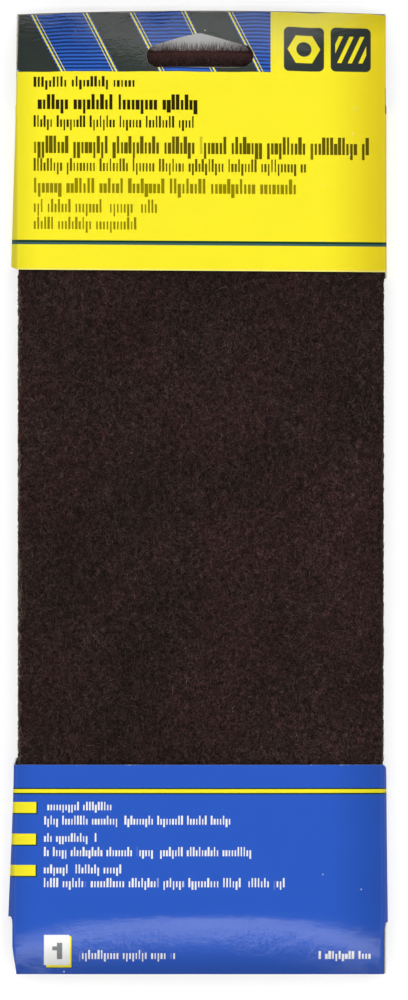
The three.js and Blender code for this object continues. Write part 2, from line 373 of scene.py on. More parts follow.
def wall_cut(side, bottom_end):
    """What is cut off beside a tongue: the whole wall, and a sliver of the front and back panels."""
    inner = FRONT_HALF + TONGUE_CUT
    outer = BACK_FOLD_END - TONGUE_CUT
    taper = TONGUE_TAPER if side < 0 else 0
    if bottom_end:
        start, run, end = FOOTER_WALLS - side * NOTCH_SKEW, -NOTCH_RUN, BOTTOM - FAR
        bend = BOTTOM + FOOTER_TAPER_RUN
        taper += FOOTER_FLARE if side < 0 else 0
    else:
        start, run, end = HEADER_WALLS, NOTCH_RUN, TOP + FAR
        bend = TOP - HEADER_TONGUE + NOTCH_RUN
    near_end = BOTTOM if bottom_end else TOP
    points = [
        (inner, start + run),
        (inner + NOTCH_RUN / 2, start),
        (outer - NOTCH_RUN / 2, start),
        (outer, start + run),
        (outer, bend),
        (outer + taper, near_end),
        (outer + taper, end),
        (inner - taper, end),
        (inner - taper, near_end),
        (inner, bend),
    ]
    if not bottom_end:
        del points[9], points[4]
    return [(side * u, v) for u, v in points]


print("corners of the window and the slot:", len(window_outline()), "and", len(slot_outline(1, 0)))


# %% The cutters, and the cut blank
def cutter(outlines):
    """One closed prism through the card for each outline."""
    bm = bmesh.new()
    for outline in outlines:
        corners = [bm.verts.new((u, v, -FAR)) for u, v in outline]
        for a, b in zip(corners, corners[1:] + corners[:1]):
            bm.edges.new((a, b))
        edges = [edge for edge in bm.edges if edge.is_wire]
        base = bmesh.ops.contextual_create(bm, geom=edges)["faces"]
        raised = bmesh.ops.extrude_face_region(bm, geom=base, use_keep_orig=True)["geom"]
        bmesh.ops.translate(bm, verts=only(bmesh.types.BMVert, raised), vec=(0, 0, 2 * FAR))
    bmesh.ops.recalc_face_normals(bm, faces=bm.faces)
    for face in bm.faces:
        face.material_index = CORE
    return as_object(bm, "die", sleeve_finishes)


def applied(piece, modifier_type, **settings):
    """Adds one modifier, applies it to the mesh and takes it off again."""
    modifier = piece.modifiers.new(modifier_type.title(), modifier_type)
    for key, value in settings.items():
        setattr(modifier, key, value)
    bpy.context.view_layer.update()
    finished = bpy.data.meshes.new_from_object(piece.evaluated_get(bpy.context.evaluated_depsgraph_get()))
    piece.modifiers.clear()
    piece.data = finished
    return piece


BACK_MIDDLE = BACK_FOLD_END + BACK_HALF
cuts = [window_outline()]
cuts += [wall_cut(side, end) for side in (-1, 1) for end in (False, True)]
cuts += [slot_outline(1, -HEADER_SHIFT), slot_outline(-1, -BACK_MIDDLE)]
die = cutter(cuts)
applied(sleeve, "BOOLEAN", operation="DIFFERENCE", solver="EXACT", object=die)
bpy.data.objects.remove(die)
print("the cut blank has", len(sleeve.data.polygons), "faces")

# %% [markdown]
# A blade presses the printed face down a little before it parts the card, so a cut edge shows a
# thin pale lip. Here that lip is a narrow bevel along every edge between the printed face and a
# cut wall. It is made while the card is flat, when the edges to bevel are easy to find. The sharp
# edges are marked now too, because after folding a tight fold and a cut edge look alike.


# %% The pressed lip, the sharp edges and the maps
LIP = 0.24
WELD = 0.0005
FLAT, SHARP_ANGLE = 0.98, math.radians(50)
FULL_BAND = (0.005, 0.995)
PRINT_BAND, BOARD_BAND, CORE_BAND = (0.005, 0.835), (0.845, 0.955), (0.965, 0.995)


def kinds_beside(edge):
    return sorted(face.material_index for face in edge.link_faces)


def finish_blank(piece):
    """Presses the lips, gives each face its finish, and adds the flat map and the one for baking."""
    bm = bmesh.new()
    bm.from_mesh(piece.data)
    bmesh.ops.remove_doubles(bm, verts=bm.verts, dist=WELD)
    lips = [edge for edge in bm.edges if kinds_beside(edge) == [PRINTED, CORE]]
    rounding = {"affect": "EDGES", "segments": 2, "profile": 0.5, "material": -1, "clamp_overlap": True}
    bmesh.ops.bevel(bm, geom=lips, offset=LIP, **rounding)
    for face in bm.faces:
        face.smooth = True
        if abs(face.normal.z) < FLAT:
            face.material_index = CORE
        middle = face.calc_center_median()
        if face.material_index == PRINTED and abs(middle.x) > WALL_END:
            face.material_index = BACK
        elif face.material_index == PRINTED and middle.y < 0:
            face.material_index = FOOTER
    for edge in bm.edges:
        kinds = {face.material_index == CORE for face in edge.link_faces}
        sharp = edge.is_manifold and edge.calc_face_angle() > SHARP_ANGLE
        edge.smooth = len(kinds) == 1 and not sharp
    blank = bm.loops.layers.uv.new("blank")
    bake = bm.loops.layers.uv.new("OFBake")
    for face in bm.faces:
        for loop in face.loops:
            u, v, h = loop.vert.co
            loop[blank].uv = (u, v)
            across, along = (u - BLANK_LEFT) / (BLANK_RIGHT - BLANK_LEFT), (v - BOTTOM) / (TOP - BOTTOM)
            if face.material_index == BOARD:
                loop[bake].uv = (mix(*BOARD_BAND, across), mix(*FULL_BAND, along))
            elif face.material_index == CORE:
                loop[bake].uv = (mix(*CORE_BAND, h / CARD), mix(*FULL_BAND, (across + along) / 2))
            else:
                loop[bake].uv = (mix(*PRINT_BAND, across), mix(*FULL_BAND, along))
    bm.to_mesh(piece.data)
    bm.free()
    return len(lips)


print("edges given a lip:", finish_blank(sleeve))

# %% [markdown]
# ## The card, step 3: the fold
# Each vertex now moves to its folded place. The card's middle layer follows the section, and the
# vertex stands off it by its height in the flat sheet. Three small habits of real card are added:
# the front rolls off softly towards its side folds, its top edge is not quite straight, and the
# tongue ripples where it was bent.

# %% The habits of this card
EDGE_ROLL, EDGE_ROLL_REACH, EDGE_ROLL_FADE = 0.4, 5, 12
EDGE_WAVES = ((0.17, 27, 0.4), (0.09, 11.5, 2.0))
RIPPLES = ((0.16, 44, 0.9), (0.07, 19, 2.6))
RIPPLE_REACH = 26


def waves(sines, at):
    """The sum of some sine waves, each given by its size, its length and where it starts."""
    return sum(size * math.sin(2 * math.pi * at / length + start) for size, length, start in sines)


def folded(flat, sections):
    """The folded place of a point on the flat blank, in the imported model's metres."""
    u, v, h = flat
    chain = sections(v)
    name = next((n for n, (start, end) in STRETCHES.items() if u <= end), "back_right")
    start, end = STRETCHES[name]
    place, along = bezier(chain[name], share(start, end, u))
    off = h - CARD / 2
    x, z = place.x - off * along.y, place.y + off * along.x
    high = SLEEVE_HEIGHT - dip_at(v)
    front = share(FLAP_TOP, SLEEVE_HEIGHT / 2, place.y)
    near_side = 1 - share(0, EDGE_ROLL_REACH, HALF_SLEEVE - abs(x - shift_at(v)))
    z -= EDGE_ROLL * near_side**2 * min(z / high, 1) * share(HEADER_WALLS + EDGE_ROLL_FADE, HEADER_WALLS, v)
    tongue = share(TOP - RIPPLE_REACH, TOP, v) ** 2
    z += front * tongue * waves(RIPPLES, u)
    drop = TOP_ARC * (place.x / HALF_SLEEVE) ** 2 + front * (FRONT_SHORT + waves(EDGE_WAVES, u))
    y = v - share(HEADER_WALLS, TOP, v) * drop
    return (Vector((x, y, z)) + CENTRE) * MM


def fold(piece):
    """Moves every vertex to its folded place. Vertices at one v share one section."""
    known = {}

    def sections(v):
        key = round(v, 4)
        if key not in known:
            known[key] = section(v)
        return known[key]

    for vertex in piece.data.vertices:
        vertex.co = folded(vertex.co, sections)
    piece.data.update()


fold(sleeve)
card_height = max(vertex.co.z for vertex in sleeve.data.vertices) / MM
print("the folded card is", round(card_height, 2), "mm high")
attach(sleeve, "root")
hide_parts("card_sleeve")

# %% [markdown]
# ## The web, step 1: the slab
# The pad is a block of loose fibres with no skin. Seen close, its face is a field of pits between
# strands. A remeshed and inflated cushion would round it off too much, because web holds its cut
# edges. So the slab is a fine grid whose rim is extruded down level by level, and the pits come
# from a Displace modifier with a seeded cloud texture. It is crowned under the bowed card, and
# pressed thin where the tongues bend down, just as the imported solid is.

# %% The slab of web
WEB_STEP, WEB_LEVELS = 0.95, 8
EDGE_SQUARENESS = 4
PIT_DEPTH, PIT_SIZE, PIT_DETAIL, PIT_LEVEL = 0.42, 0.75, 2, 0.8
FACE_BAND, UNDER_BAND = (0.005, 0.815), (0.93, 0.995)
UPPER_BAND, LOWER_BAND = (0.405, 0.995), (0.005, 0.395)
SIDE_BANDS, SIDE_BAND_WIDTH = (0.83, 0.88), 0.04
END_BANDS, END_BAND_WIDTH = (0.93, 0.965), 0.03


def web_thickness(x, y):
    """The slab's thickness where the bowed card leaves it room or presses on it."""
    rise = max(crown_at(y) - CROWN_GAP, 0) * (1 - min(1, abs(2 * x / PAD_WIDTH)) ** 2)
    return PAD_THICKNESS - dip_at(y) + rise


def squeezed(x, y, z):
    """Where a point of the slab lies once the card has pressed on it."""
    thickness = web_thickness(x, y)
    height = thickness * (z / PAD_THICKNESS)
    x += shift_at(y) * (height / PAD_THICKNESS) * (x / PAD_WIDTH + 0.5)
    return (Vector((x, y, PAD_BASE + height)) + CENTRE) * MM


def web_block():
    """A flat block with rounded long and short edges: a fine grid, its rim extruded level by level."""
    bm = bmesh.new()
    width, length = PAD_WIDTH - 2 * PAD_EDGE_ROUND, PAD_LENGTH - 2 * PAD_EDGE_ROUND
    across, along = round(width / WEB_STEP), round(length / WEB_STEP)
    middle = (PAD_TOP_END + PAD_BOTTOM_END) / 2
    bmesh.ops.create_grid(bm, x_segments=across, y_segments=along, size=0.5)
    bmesh.ops.scale(bm, verts=bm.verts, vec=(width, length, 1))
    bmesh.ops.translate(bm, verts=bm.verts, vec=(0, middle, PAD_THICKNESS))
    rim = [edge for edge in bm.edges if edge.is_boundary]
    before = 0
    for level in range(1, WEB_LEVELS + 1):
        depth = level / WEB_LEVELS
        reach = PAD_EDGE_ROUND * (1 - abs(2 * depth - 1) ** EDGE_SQUARENESS)
        made = bmesh.ops.extrude_edge_only(bm, edges=rim)["geom"]
        verts, rim = only(bmesh.types.BMVert, made), only(bmesh.types.BMEdge, made)
        grow = ((width + 2 * reach) / (width + 2 * before), (length + 2 * reach) / (length + 2 * before), 1)
        bmesh.ops.translate(bm, verts=verts, vec=(0, -middle, -PAD_THICKNESS / WEB_LEVELS))
        bmesh.ops.scale(bm, verts=verts, vec=grow)
        bmesh.ops.translate(bm, verts=verts, vec=(0, middle, 0))
        before = reach
    bmesh.ops.contextual_create(bm, geom=rim)
    bmesh.ops.recalc_face_normals(bm, faces=bm.faces)
    return bm


def map_for_baking(bm):
    """Lays the face, the underside, the two sides and the two ends out beside each other."""
    bake = bm.loops.layers.uv.new("OFBake")
    for face in bm.faces:
        face.smooth = True
        normal = face.normal
        for loop in face.loops:
            x, y, z = loop.vert.co
            across, along = x / PAD_WIDTH + 0.5, (y - PAD_BOTTOM_END) / PAD_LENGTH
            if abs(normal.z) >= STEEP and normal.z > 0:
                loop[bake].uv = (mix(*FACE_BAND, across), mix(*FULL_BAND, along))
            elif abs(normal.z) >= STEEP:
                loop[bake].uv = (mix(*UNDER_BAND, across), mix(*UPPER_BAND, along))
            elif abs(normal.x) > abs(normal.y):
                band = SIDE_BANDS[normal.x >= 0]
                loop[bake].uv = (band + SIDE_BAND_WIDTH * z / PAD_THICKNESS, mix(*FULL_BAND, along))
            else:
                band = END_BANDS[normal.y >= 0]
                loop[bake].uv = (band + END_BAND_WIDTH * z / PAD_THICKNESS, mix(*LOWER_BAND, across))
    return bm


web_finish = bpy.data.materials.new("abrasive_web")
web = as_object(map_for_baking(web_block()), "web_slab", [web_finish])
for vertex in web.data.vertices:
    vertex.co = squeezed(*vertex.co)
pits = bpy.data.textures.new("web_pits", "CLOUDS")
pits.noise_scale, pits.noise_depth = PIT_SIZE * MM, PIT_DETAIL
applied(web, "DISPLACE", texture=pits, strength=PIT_DEPTH * MM, mid_level=PIT_LEVEL, texture_coords="LOCAL")
print("the slab of web has", len(web.data.polygons), "faces")
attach(web, "root")
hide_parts("hand_pad")

# %% [markdown]
# ## The web, step 2: the fibres
# What makes this material look like itself is its strands: they catch the light singly, cross each
# other and stand proud at the edges. A hair system would need its own render settings and would not
# export, so each strand is a real three-sided thread, tapered to its ends. One thread is
# made with bmesh operators, and numpy lays copies of it along thousands of short random arcs at
# once. A strand starts and ends inside the slab and arches out of it. Every strand gets one random
# `shade`, which its finish reads, so that neighbours differ as real ones do.

# %% One thread, as its rings
THREAD_SIDES, THREAD_RINGS = 3, 5
THREAD_TAPER, TAPER_POWER = 0.75, 3
ALONG_X = Vector((1, 0, 0))


def one_thread():
    """A thread of radius 1 along +X from 0 to 1: the place of each vertex, and the faces."""
    bm = bmesh.new()
    bmesh.ops.create_cone(bm, cap_ends=True, segments=THREAD_SIDES, radius1=1, radius2=1, depth=1)
    lying = Vector((0, 0, 1)).rotation_difference(ALONG_X).to_matrix()
    bmesh.ops.rotate(bm, verts=bm.verts, matrix=lying)
    bmesh.ops.translate(bm, verts=bm.verts, vec=(0.5, 0, 0))
    for ring in range(1, THREAD_RINGS - 1):
        place = ALONG_X * (ring / (THREAD_RINGS - 1))
        bmesh.ops.bisect_plane(bm, geom=everything(bm), plane_co=place, plane_no=ALONG_X)
    bmesh.ops.triangulate(bm, faces=bm.faces[:])
    bmesh.ops.recalc_face_normals(bm, faces=bm.faces)
    bm.verts.index_update()
    places = np.array([v.co[:] for v in bm.verts])
    faces = np.array([[v.index for v in face.verts] for face in bm.faces])
    bm.free()
    return places, faces


thread_places, thread_faces = one_thread()
print("one thread:", len(thread_places), "vertices,", len(thread_faces), "triangles")


# %% Strands laid along random arcs on a face of the web
WIGGLE = 0.5


def unit(vectors):
    return vectors / np.linalg.norm(vectors, axis=-1, keepdims=True)


def arcs(rng, count, length, bend, upright):
    """Flat curved paths from the origin: one row of points for each strand, the second axis along v."""
    t = np.linspace(0, 1, THREAD_RINGS)
    size = rng.uniform(length[0], length[1], (count, 1))
    heading = np.pi / 2 + rng.normal(0, upright, (count, 1)) + np.pi * rng.integers(0, 2, (count, 1))
    turn = rng.normal(0, bend, (count, 1)) * size
    wiggle = rng.normal(0, WIGGLE, (count, 1)) * np.sin(2 * np.pi * t)
    angle = heading + turn * (t - 0.5) + wiggle
    step = size / (THREAD_RINGS - 1)
    path = np.stack([np.cos(angle) * step, np.sin(angle) * step], axis=-1).cumsum(axis=1)
    return path - path.mean(axis=1, keepdims=True)


def threads(paths, radius):
    """The vertices of a thread round every path. paths is strands x rings x 3."""
    along = unit(np.gradient(paths, axis=1))
    side = unit(np.cross(along, [0.0, 0.0, 1.0]) + 1e-6)
    up = np.cross(side, along)
    ring = np.rint(thread_places[:, 0] * (THREAD_RINGS - 1)).astype(int)
    t = ring / (THREAD_RINGS - 1)
    taper = 1 - THREAD_TAPER * np.abs(2 * t - 1) ** TAPER_POWER
    taper = taper[None, :, None] * radius[:, None, None]
    off = side[:, ring] * thread_places[None, :, 1, None] + up[:, ring] * thread_places[None, :, 2, None]
    return paths[:, ring] + off * taper


def strand_piece(name, paths, radius, shade, finish):
    """One piece of many strands. Each thread has its own small triangle in the map for baking."""
    verts = threads(paths, radius)
    count = len(paths)
    faces = (thread_faces[None] + np.arange(count)[:, None, None] * len(thread_places)).reshape(-1, 3)
    mesh = bpy.data.meshes.new(name)
    mesh.from_pydata(verts.reshape(-1, 3) * MM, [], faces)
    mesh.polygons.foreach_set("use_smooth", np.ones(len(faces), bool))
    shades = mesh.attributes.new("shade", "FLOAT", "POINT")
    shades.data.foreach_set("value", np.repeat(shade, len(thread_places)))
    cells = math.ceil(math.sqrt(count))
    corner = np.array([[0.2, 0.2], [0.8, 0.2], [0.5, 0.8]])
    cell = np.stack([np.arange(count) % cells, np.arange(count) // cells], axis=-1)
    bake = (cell[:, None, None, :] + corner[None, None]) / cells
    bake = np.broadcast_to(bake, (count, len(thread_faces), 3, 2))
    mesh.uv_layers.new(name="OFBake").data.foreach_set("uv", bake.ravel())
    mesh.materials.append(finish)
    piece = bpy.data.objects.new(name, mesh)
    bpy.context.collection.objects.link(piece)
    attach(piece, "root")
    print(f"{name}: {count} strands, {len(faces)} triangles")
    return piece


# %% [markdown]
# The strands on the face lie in the window, and those that reach under the card dive back into the
# slab before they touch it. The strands on the two long edges are the fuzz that the photo shows
# past the pad's outline. The ends of the web show in the sleeve's open ends and in the hang slot,
# where the blade has also pulled some strands loose, and these are half as thick.

# %% How many strands there are, and how they lie
STRAND_SEED = 7
FACE_PIECES, FACE_STRANDS = 4, 5800
EDGE_STRANDS, END_STRANDS, SLOT_STRANDS = 2300, 1200, 460
FRINGE_STRANDS, FRINGE_REACH, FRINGE_HALF = 1700, 3.2, 18.5
FRINGE_POWER, FRINGE_ROOT, FRINGE_THINNING = 1.4, 0.5, 0.5
FRINGE_SWAY, FRINGE_CURL, FRINGE_LIFT = 0.7, 0.25, 0.6
FRINGE_SHARES, FRINGE_DEPTHS = (0.1, 1), (0.4, PAD_THICKNESS - 0.3)
SLOT_FACE, SLOT_HALF = (PAD_TOP_END - 5, PAD_TOP_END - 0.3), SLOT_WIDTH / 2 + 2
FACE_RADIUS, EDGE_RADIUS = (0.04, 0.08), (0.035, 0.065)
FACE_ARCS = {"length": (1.6, 4.6), "bend": 0.5, "upright": 0.7}
EDGE_ARCS = {"length": (1.4, 3.6), "bend": 0.6, "upright": 0.9}
END_ARCS = {"length": (1.2, 3.2), "bend": 0.6, "upright": 0.9}
FACE_RISE, END_RISE = (-0.05, 0.32), (-0.1, 0.4)
EDGE_RISES = {-1: (-0.1, 0.45), 1: (-0.1, 0.25)}
SUNK, FACE_SINK, SIDE_SINK, END_SINK = 0.3, 0.12, 0.15, 0.2
DIVE = 0.25
LOWEST, LOWEST_ROOT, UNDER_TOP = 0.1, 0.2, PAD_THICKNESS - 0.05
HALF_END = PAD_WIDTH / 2 - 0.5
ON_FACE, AT_ENDS = FACE_PIECES * FACE_STRANDS, 2 * END_STRANDS + SLOT_STRANDS + FRINGE_STRANDS
print(ON_FACE, "strands on the face,", 2 * EDGE_STRANDS, "on the edges,", AT_ENDS, "at the ends")


# %% The paths of the strands on each part of the web
strand_finish = bpy.data.materials.new("web_strands")
rng = np.random.default_rng(STRAND_SEED)


def arched(count, rise):
    """How far each ring of a strand stands out of the web, with both ends sunk in it."""
    t = np.linspace(0, 1, THREAD_RINGS)
    return -SUNK + (rng.uniform(*rise, (count, 1)) + SUNK) * 4 * t * (1 - t)


def rounded_back(z):
    """How far the slab's edge lies back at a height, near its rounded top."""
    return 0.5 * np.clip(z - PAD_THICKNESS + 1, 0, 1) ** 2


def heights(count, offsets, highest):
    return np.clip(rng.uniform(LOWEST_ROOT, PAD_THICKNESS, (count, 1)) + offsets, LOWEST, highest)


def pressed(x, y, z):
    """squeezed, for whole arrays of points."""
    points = [squeezed(*place) / MM for place in zip(x.ravel(), y.ravel(), z.ravel())]
    return np.array(points).reshape(*x.shape, 3)


def strand_shades(count):
    return rng.uniform(0, 1, count)


def face_paths(count, low, high, reach):
    """Strands over the web's face between two places along it."""
    flat = arcs(rng, count, **FACE_ARCS)
    x = rng.uniform(-reach, reach, (count, 1)) + flat[:, :, 0]
    y = rng.uniform(low, high, (count, 1)) + flat[:, :, 1]
    lift = arched(count, FACE_RISE)
    under_card = np.maximum(low - y, y - high) > -DIVE
    lift = np.where(under_card, np.minimum(lift, -DIVE), lift)
    x = np.clip(x, -PAD_WIDTH / 2 - SIDE_SINK, PAD_WIDTH / 2 + SIDE_SINK)
    return pressed(x, y, PAD_THICKNESS + lift - FACE_SINK)


def edge_paths(count, side):
    """Strands over one long edge, which stand out sideways."""
    flat = arcs(rng, count, **EDGE_ARCS)
    y = rng.uniform(FOOTER_EDGE + 1, HEADER_EDGE - 1, (count, 1)) + flat[:, :, 1]
    z = heights(count, flat[:, :, 0], PAD_THICKNESS + LOWEST)
    out = arched(count, EDGE_RISES[side])
    return pressed(side * (PAD_WIDTH / 2 - SIDE_SINK + out - rounded_back(z)), y, z)


def end_paths(count, y_end, towards, reach):
    """Strands over one cut end."""
    flat = arcs(rng, count, **END_ARCS)
    x = rng.uniform(-reach, reach, (count, 1)) + flat[:, :, 1]
    z = heights(count, flat[:, :, 0], UNDER_TOP)
    out = arched(count, END_RISE)
    y = y_end + towards * (out - END_SINK - rounded_back(z))
    return pressed(np.clip(x, -reach, reach), y, z)


def fringe_paths(count):
    """Loose strands that the blade has pulled out of the top end, in the slot. Few reach far."""
    t = np.linspace(0, 1, THREAD_RINGS)
    reach = FRINGE_REACH * rng.uniform(*FRINGE_SHARES, (count, 1)) ** FRINGE_POWER
    x = rng.uniform(-FRINGE_HALF, FRINGE_HALF, (count, 1)) + rng.normal(0, FRINGE_SWAY, (count, 1)) * t
    x = x + rng.normal(0, FRINGE_CURL, (count, 1)) * np.sin(2 * np.pi * t)
    z = rng.uniform(*FRINGE_DEPTHS, (count, 1)) + rng.normal(0, FRINGE_LIFT, (count, 1)) * t**2
    y = PAD_TOP_END - FRINGE_ROOT + (reach + FRINGE_ROOT) * t
    return pressed(x, y, np.clip(z, LOWEST, UNDER_TOP))


# %% The strands
for number in range(1, FACE_PIECES + 1):
    paths = face_paths(FACE_STRANDS, FOOTER_EDGE, HEADER_EDGE, PAD_WIDTH / 2)
    radius = rng.uniform(*FACE_RADIUS, FACE_STRANDS)
    strand_piece(f"face_strands_{number}", paths, radius, strand_shades(FACE_STRANDS), strand_finish)

for name, side in (("left", -1), ("right", 1)):
    paths = edge_paths(EDGE_STRANDS, side)
    radius = rng.uniform(*EDGE_RADIUS, EDGE_STRANDS)
    strand_piece(f"edge_strands_{name}", paths, radius, strand_shades(EDGE_STRANDS), strand_finish)

end_parts = [
    end_paths(END_STRANDS, PAD_BOTTOM_END, -1, HALF_END),
    end_paths(END_STRANDS, PAD_TOP_END, 1, HALF_END),
    face_paths(SLOT_STRANDS, *SLOT_FACE, SLOT_HALF),
    fringe_paths(FRINGE_STRANDS),
]
end_strands = np.concatenate(end_parts)
radius = rng.uniform(*EDGE_RADIUS, len(end_strands))
radius[-FRINGE_STRANDS:] *= FRINGE_THINNING
strand_piece("end_strands", end_strands, radius, strand_shades(len(end_strands)), strand_finish)

# %% [markdown]
# ## The finishes
# A shader tree is arithmetic, so it is written as arithmetic. `Value` wraps a node's output socket,
# and its operators add Math nodes. `Tree.node` makes any other node: its type, then its settings,
# then what its sockets hold or are linked to. Colours are mixed with Mix nodes, because a Math node
# would turn them grey.


# %% Shader arithmetic
class Value:
    """An output socket that can be added, multiplied, compared and so on."""

    def __init__(self, tree, socket):
        self.tree, self.socket = tree, socket

    def math(self, operation, *others):
        return self.tree.node("ShaderNodeMath", {"operation": operation}, dict(enumerate((self, *others))))

    def __add__(self, other):
        return self.math("ADD", other)

    def __sub__(self, other):
        return self.math("SUBTRACT", other)

    def __rsub__(self, other):
        return self.tree.node("ShaderNodeMath", {"operation": "SUBTRACT"}, {0: other, 1: self})

    def __mul__(self, other):
        return self.math("MULTIPLY", other)

    def __pow__(self, other):
        return self.math("POWER", other)

    def __abs__(self):
        return self.math("ABSOLUTE")

    __radd__, __rmul__ = __add__, __mul__

    def root(self):
        return self.math("SQRT")

    def fract(self):
        return self.math("FRACT")

    def floor(self):
        return self.math("FLOOR")

    def lowest(self, other):
        return self.math("MINIMUM", other)

    def highest(self, other):
        return self.math("MAXIMUM", other)

    def ramp(self, start, end):
        """A smooth step from 0 at start to 1 at end. A clamped Math node would cost the renderer more."""
        settings = {"interpolation_type": "SMOOTHSTEP", "clamp": False}
        inputs = {"Value": self, "From Min": start, "From Max": end}
        return self.tree.node("ShaderNodeMapRange", settings, inputs)

    def above(self, edge, soft):
        """0 below the edge and 1 above it, with a slope that is soft wide."""
        return self.ramp(edge - soft / 2, edge + soft / 2)

    def below(self, edge, soft):
        return self.ramp(edge + soft / 2, edge - soft / 2)

    def within(self, start, end, soft):
        """1 between two edges."""
        return abs(self - (start + end) / 2).below((end - start) / 2, soft)


class Tree:
    """A material's or the world's nodes, emptied first."""

    def __init__(self, owner):
        owner.use_nodes = True
        self.nodes, self.links = owner.node_tree.nodes, owner.node_tree.links
        self.nodes.clear()

    def node(self, kind, settings=None, inputs=None, output=0):
        made = self.nodes.new(kind)
        for key, value in (settings or {}).items():
            setattr(made, key, value)
        for key, value in (inputs or {}).items():
            if isinstance(value, Value):
                self.links.new(value.socket, made.inputs[key])
            else:
                made.inputs[key].default_value = value
        return Value(self, made.outputs[output]) if made.outputs else None

    def mix(self, amount, low, high):
        """One colour where amount is 0 and the other where it is 1."""
        colours = [(*c, 1) if isinstance(c, tuple) else c for c in (low, high)]
        settings = {"data_type": "RGBA", "clamp_factor": True}
        return self.node("ShaderNodeMix", settings, {0: amount, 6: colours[0], 7: colours[1]}, output=2)

    def scaled(self, colour, amount):
        """A colour made darker or lighter by a number."""
        return self.node("ShaderNodeVectorMath", {"operation": "SCALE"}, {0: colour, "Scale": amount})

    def parts(self, vector):
        split = self.node("ShaderNodeSeparateXYZ", {}, {0: vector}).socket.node
        return [Value(self, socket) for socket in split.outputs]

    def noise(self, vector, scale, detail, **more):
        inputs = {"Vector": vector, "Scale": scale, "Detail": detail, **more}
        return self.node("ShaderNodeTexNoise", {}, inputs)

    def surface(self, height, distance, inputs):
        """A Principled surface, bumped by a height from 0 to 1 that is worth a distance in metres."""
        bump = self.node("ShaderNodeBump", {}, {"Height": height, "Strength": 1, "Distance": distance})
        shader = self.node("ShaderNodeBsdfPrincipled", {}, {**inputs, "Normal": bump})
        self.node("ShaderNodeOutputMaterial", {}, {"Surface": shader})


def ink(*levels):
    """A colour given as it looks on a screen, 0 to 255, as the light that a shader needs."""
    shares = [level / 255 for level in levels]
    return tuple(n / 12.92 if n <= 0.04045 else ((n + 0.055) / 1.055) ** 2.4 for n in shares)


print("shader arithmetic is ready; the header's yellow is", [round(n, 3) for n in ink(254, 240, 45)])

# %% [markdown]
# ### The print
# The print is laid out on the flat blank, in millimetres, from the `blank` map that was taken
# before folding. Each mark is a mask: a distance compared with an edge, which stays sharp at any
# size, where an image would not. The sleeve has a yellow header and a blue footer. The header's
# band holds slanted blue and charcoal fields with thin yellow lines. Two plain pictogram tiles
# stand beside it. The type is rows of plain upright strokes in word-sized groups, which have the
# weight of small type and spell nothing.

# %% The marks that print is made of
EDGE_SOFT = 0.16
WORD_RATE, WORD_GAP, SEED_STRIDE = 0.1, 0.06, 73
STROKE_LOW, STROKE_HIGH, TALL_RISE, HANG_DROP = 0.22, 0.72, 0.28, -0.22
TALL_ABOVE, HANG_BELOW, SWITCH = 0.68, 0.14, 0.01
THINNEST, THICKER_BY = 0.7, 0.6


class Print(Tree):
    """The card's printed face: a colour that marks are laid on, one after another."""

    def __init__(self, material, ground):
        super().__init__(material)
        blank = self.node("ShaderNodeUVMap", {"uv_map": "blank"})
        self.u, self.v, _ = self.parts(blank)
        self.colour = ground

    def lay(self, mask, colour):
        self.colour = self.mix(mask, self.colour, colour)

    def box(self, left, right, low, high):
        return self.u.within(left, right, EDGE_SOFT) * self.v.within(low, high, EDGE_SOFT)

    def rounded(self, left, right, low, high, corner):
        """A box with round corners, from its signed distance."""
        x = (abs(self.u - (left + right) / 2) - ((right - left) / 2 - corner)).highest(0)
        y = (abs(self.v - (low + high) / 2) - ((high - low) / 2 - corner)).highest(0)
        return (x * x + y * y).root().below(corner, EDGE_SOFT)

    def type_row(self, left, right, low, high, pitch, duty, seed):
        """A row of upright strokes in groups as long as words, some of them tall and a few hanging."""
        place = (self.u - left) * (1 / pitch)
        cell = place.floor() + seed * SEED_STRIDE
        right = left + math.floor((right - left) / pitch) * pitch
        word_settings = {"voronoi_dimensions": "1D", "feature": "DISTANCE_TO_EDGE"}
        words = self.node("ShaderNodeTexVoronoi", word_settings, {"W": cell * WORD_RATE, "Scale": 1})
        kind = self.node("ShaderNodeTexWhiteNoise", {"noise_dimensions": "1D"}, {"W": cell + 0.5})
        half = ((kind * 7).fract() * THICKER_BY + THINNEST) * (duty / 2)
        stroke = (abs(place.fract() - 0.5) - half).below(0, EDGE_SOFT / pitch)
        height = high - low
        top = kind.above(TALL_ABOVE, SWITCH) * (TALL_RISE * height) + (low + STROKE_HIGH * height)
        foot = kind.below(HANG_BELOW, SWITCH) * (HANG_DROP * height) + (low + STROKE_LOW * height)
        tall = (self.v - top).below(0, EDGE_SOFT) * (self.v - foot).above(0, EDGE_SOFT)
        return self.box(left, right, low, high) * words.above(WORD_GAP, SWITCH) * stroke * tall


print("a mark's edge blends over", EDGE_SOFT, "mm")


# %% The print's colours and its rows of type, in millimetres on the blank
YELLOW, SHADE_GOLD = ink(254, 240, 45), ink(252, 214, 30)
BLUE, WHITE = ink(46, 92, 196), ink(247, 247, 244)
CHARCOAL, DEEP_BLUE, STRIPE_BLUE = ink(50, 57, 53), ink(24, 52, 112), ink(52, 102, 200)
RULE_GREEN, RULE_STEEL = ink(20, 62, 46), ink(58, 98, 104)
BLACK, OLIVE, PALE_OLIVE = ink(44, 36, 6), ink(98, 88, 8), ink(146, 134, 8)
FIGURE_GREY, CUT_PALE = ink(120, 122, 124), ink(252, 248, 214)
